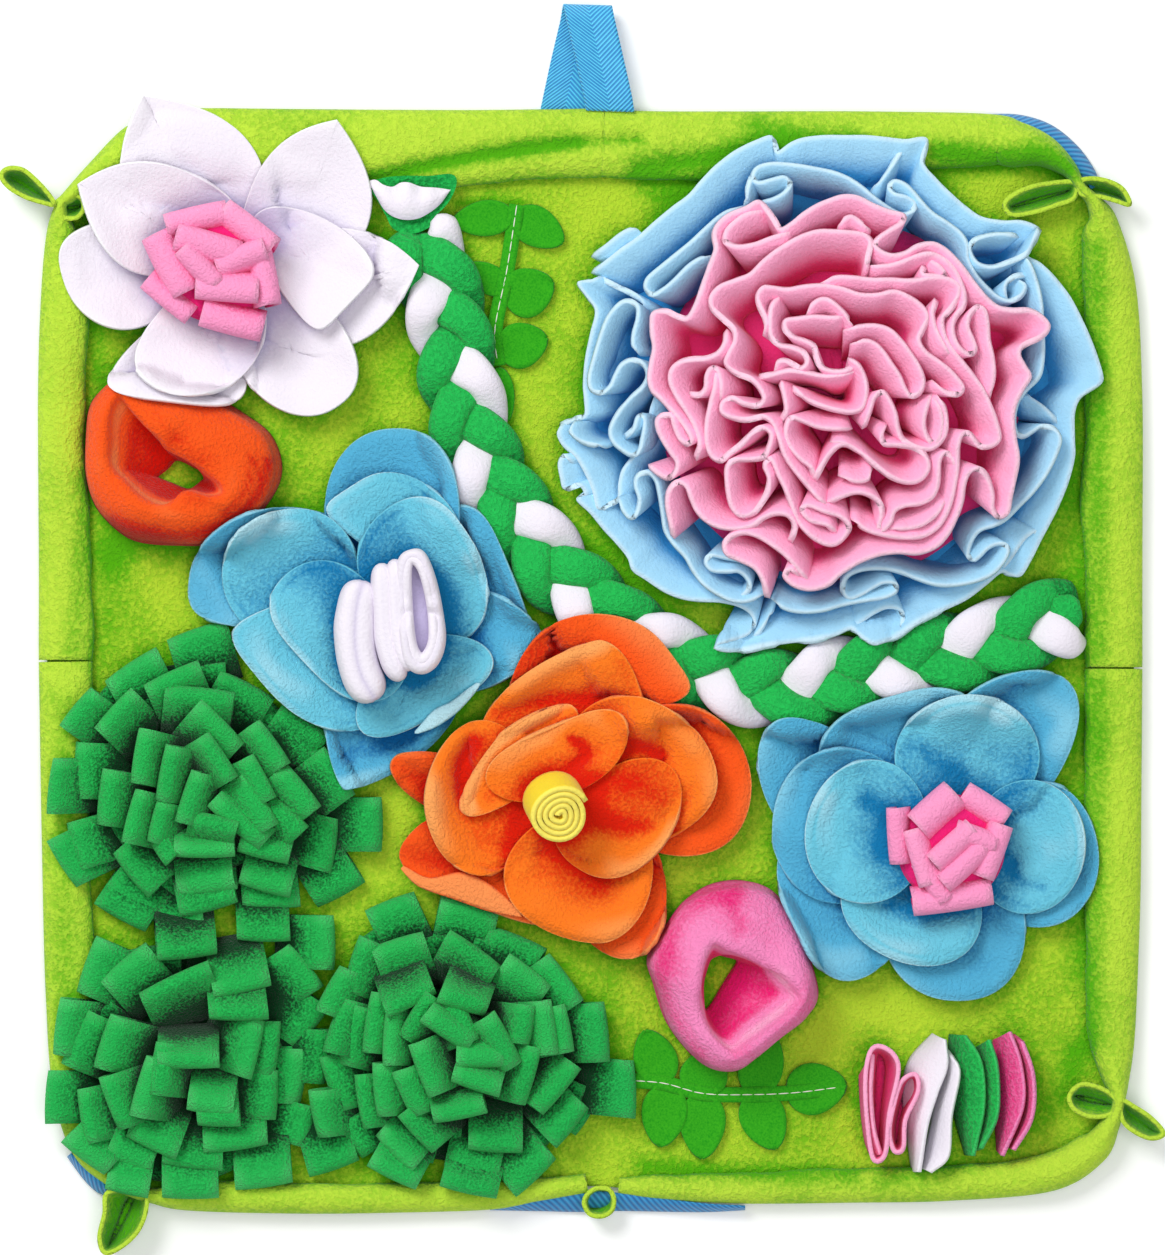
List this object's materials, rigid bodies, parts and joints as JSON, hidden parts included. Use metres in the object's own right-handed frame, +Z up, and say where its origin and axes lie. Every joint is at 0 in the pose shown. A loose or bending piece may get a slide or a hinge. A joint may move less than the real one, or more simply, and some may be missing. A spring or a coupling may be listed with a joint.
{
  "type": "snuffle mat",
  "caption": "Square fleece foraging mat with sewn flowers, loop bushes, ruffles, open rings, plait, folded strips, felt sprigs and a webbing carrying loop; soft border pinched at the corners.",
  "frame": {"origin": "on the floor under the middle of the mat, at the centre of its outline in plan", "axes": "+Z up from the floor, +Y towards the side with the carrying loop, +X to the right seen from above"},
  "size_m": [0.528, 0.5689, 0.0567],
  "materials": {
    "blue_fleece": "matt brushed fleece",
    "blue_webbing": "woven herringbone webbing, low sheen",
    "bush_fleece": "matt brushed fleece",
    "deep_blue_fleece": "matt brushed fleece",
    "leaf_felt": "matt pressed felt",
    "lime_fleece": "matt brushed fleece",
    "magenta_fleece": "matt brushed fleece",
    "orange_fleece": "matt brushed fleece",
    "pink_fleece": "matt brushed fleece",
    "plait_green_fleece": "matt brushed fleece",
    "red_orange_fleece": "matt brushed fleece",
    "rose_pink_fleece": "matt brushed fleece",
    "sky_fleece": "matt brushed fleece",
    "white_fleece": "matt brushed fleece",
    "yellow_fleece": "matt brushed fleece"
  },
  "bodies": {
    "root": {"base_panel": "lime_fleece", "border_bottom_left": "lime_fleece", "border_bottom_right": "lime_fleece", "border_top_left": "lime_fleece", "border_top_right": "lime_fleece", "bush_bottom": "bush_fleece", "bush_bottom_left": "bush_fleece", "bush_left": "bush_fleece", "edge_loop_bottom": "lime_fleece", "felt_sprig_bottom": "leaf_felt", "felt_sprig_top": "leaf_felt", "folded_strip_green": "plait_green_fleece", "folded_strip_magenta": "magenta_fleece", "folded_strip_pink": "pink_fleece", "folded_strip_white": "white_fleece", "handle_strap": "blue_webbing", "loop_bundle_light_blue_flower": "pink_fleece", "loop_bundle_white_flower": "pink_fleece", "petal_blue_front_bottom": "blue_fleece", "petal_blue_front_lower_left": "blue_fleece", "petal_blue_front_middle_left": "blue_fleece", "petal_blue_front_right": "blue_fleece", "petal_blue_front_top": "blue_fleece", "petal_blue_front_upper_left": "blue_fleece", "petal_light_blue_front_bottom": "blue_fleece", "petal_light_blue_front_left": "blue_fleece", "petal_light_blue_front_right": "blue_fleece", "petal_light_blue_front_top": "blue_fleece", "petal_orange_front_bottom": "orange_fleece", "petal_orange_front_left": "orange_fleece", "petal_orange_front_lower_right": "orange_fleece", "petal_orange_front_right": "orange_fleece", "petal_orange_front_top": "orange_fleece", "petal_orange_inner_left": "orange_fleece", "petal_orange_inner_top": "orange_fleece", "petal_white_back_bottom": "white_fleece", "petal_white_back_left": "white_fleece", "petal_white_back_lower_right": "white_fleece", "petal_white_back_right": "white_fleece", "petal_white_back_upper": "white_fleece", "petal_white_back_upper_right": "white_fleece", "petal_white_front_bottom": "white_fleece", "petal_white_front_left": "white_fleece", "petal_white_front_right": "white_fleece", "petals_blue_back": "deep_blue_fleece", "petals_light_blue_back": "deep_blue_fleece", "petals_orange_back": "red_orange_fleece", "plait_strand_1": "plait_green_fleece", "plait_strand_2": "plait_green_fleece", "plait_strand_3": "white_fleece", "ribbon_white_folded": "white_fleece", "ring_orange": "red_orange_fleece", "ring_pink": "magenta_fleece", "roll_yellow": "yellow_fleece", "ruffle_blue": "sky_fleece", "ruffle_pink": "rose_pink_fleece", "webbing_band_bottom": "blue_webbing", "webbing_band_bottom_left": "blue_webbing", "webbing_band_top_right": "blue_webbing"}
  },
  "joints": []
}
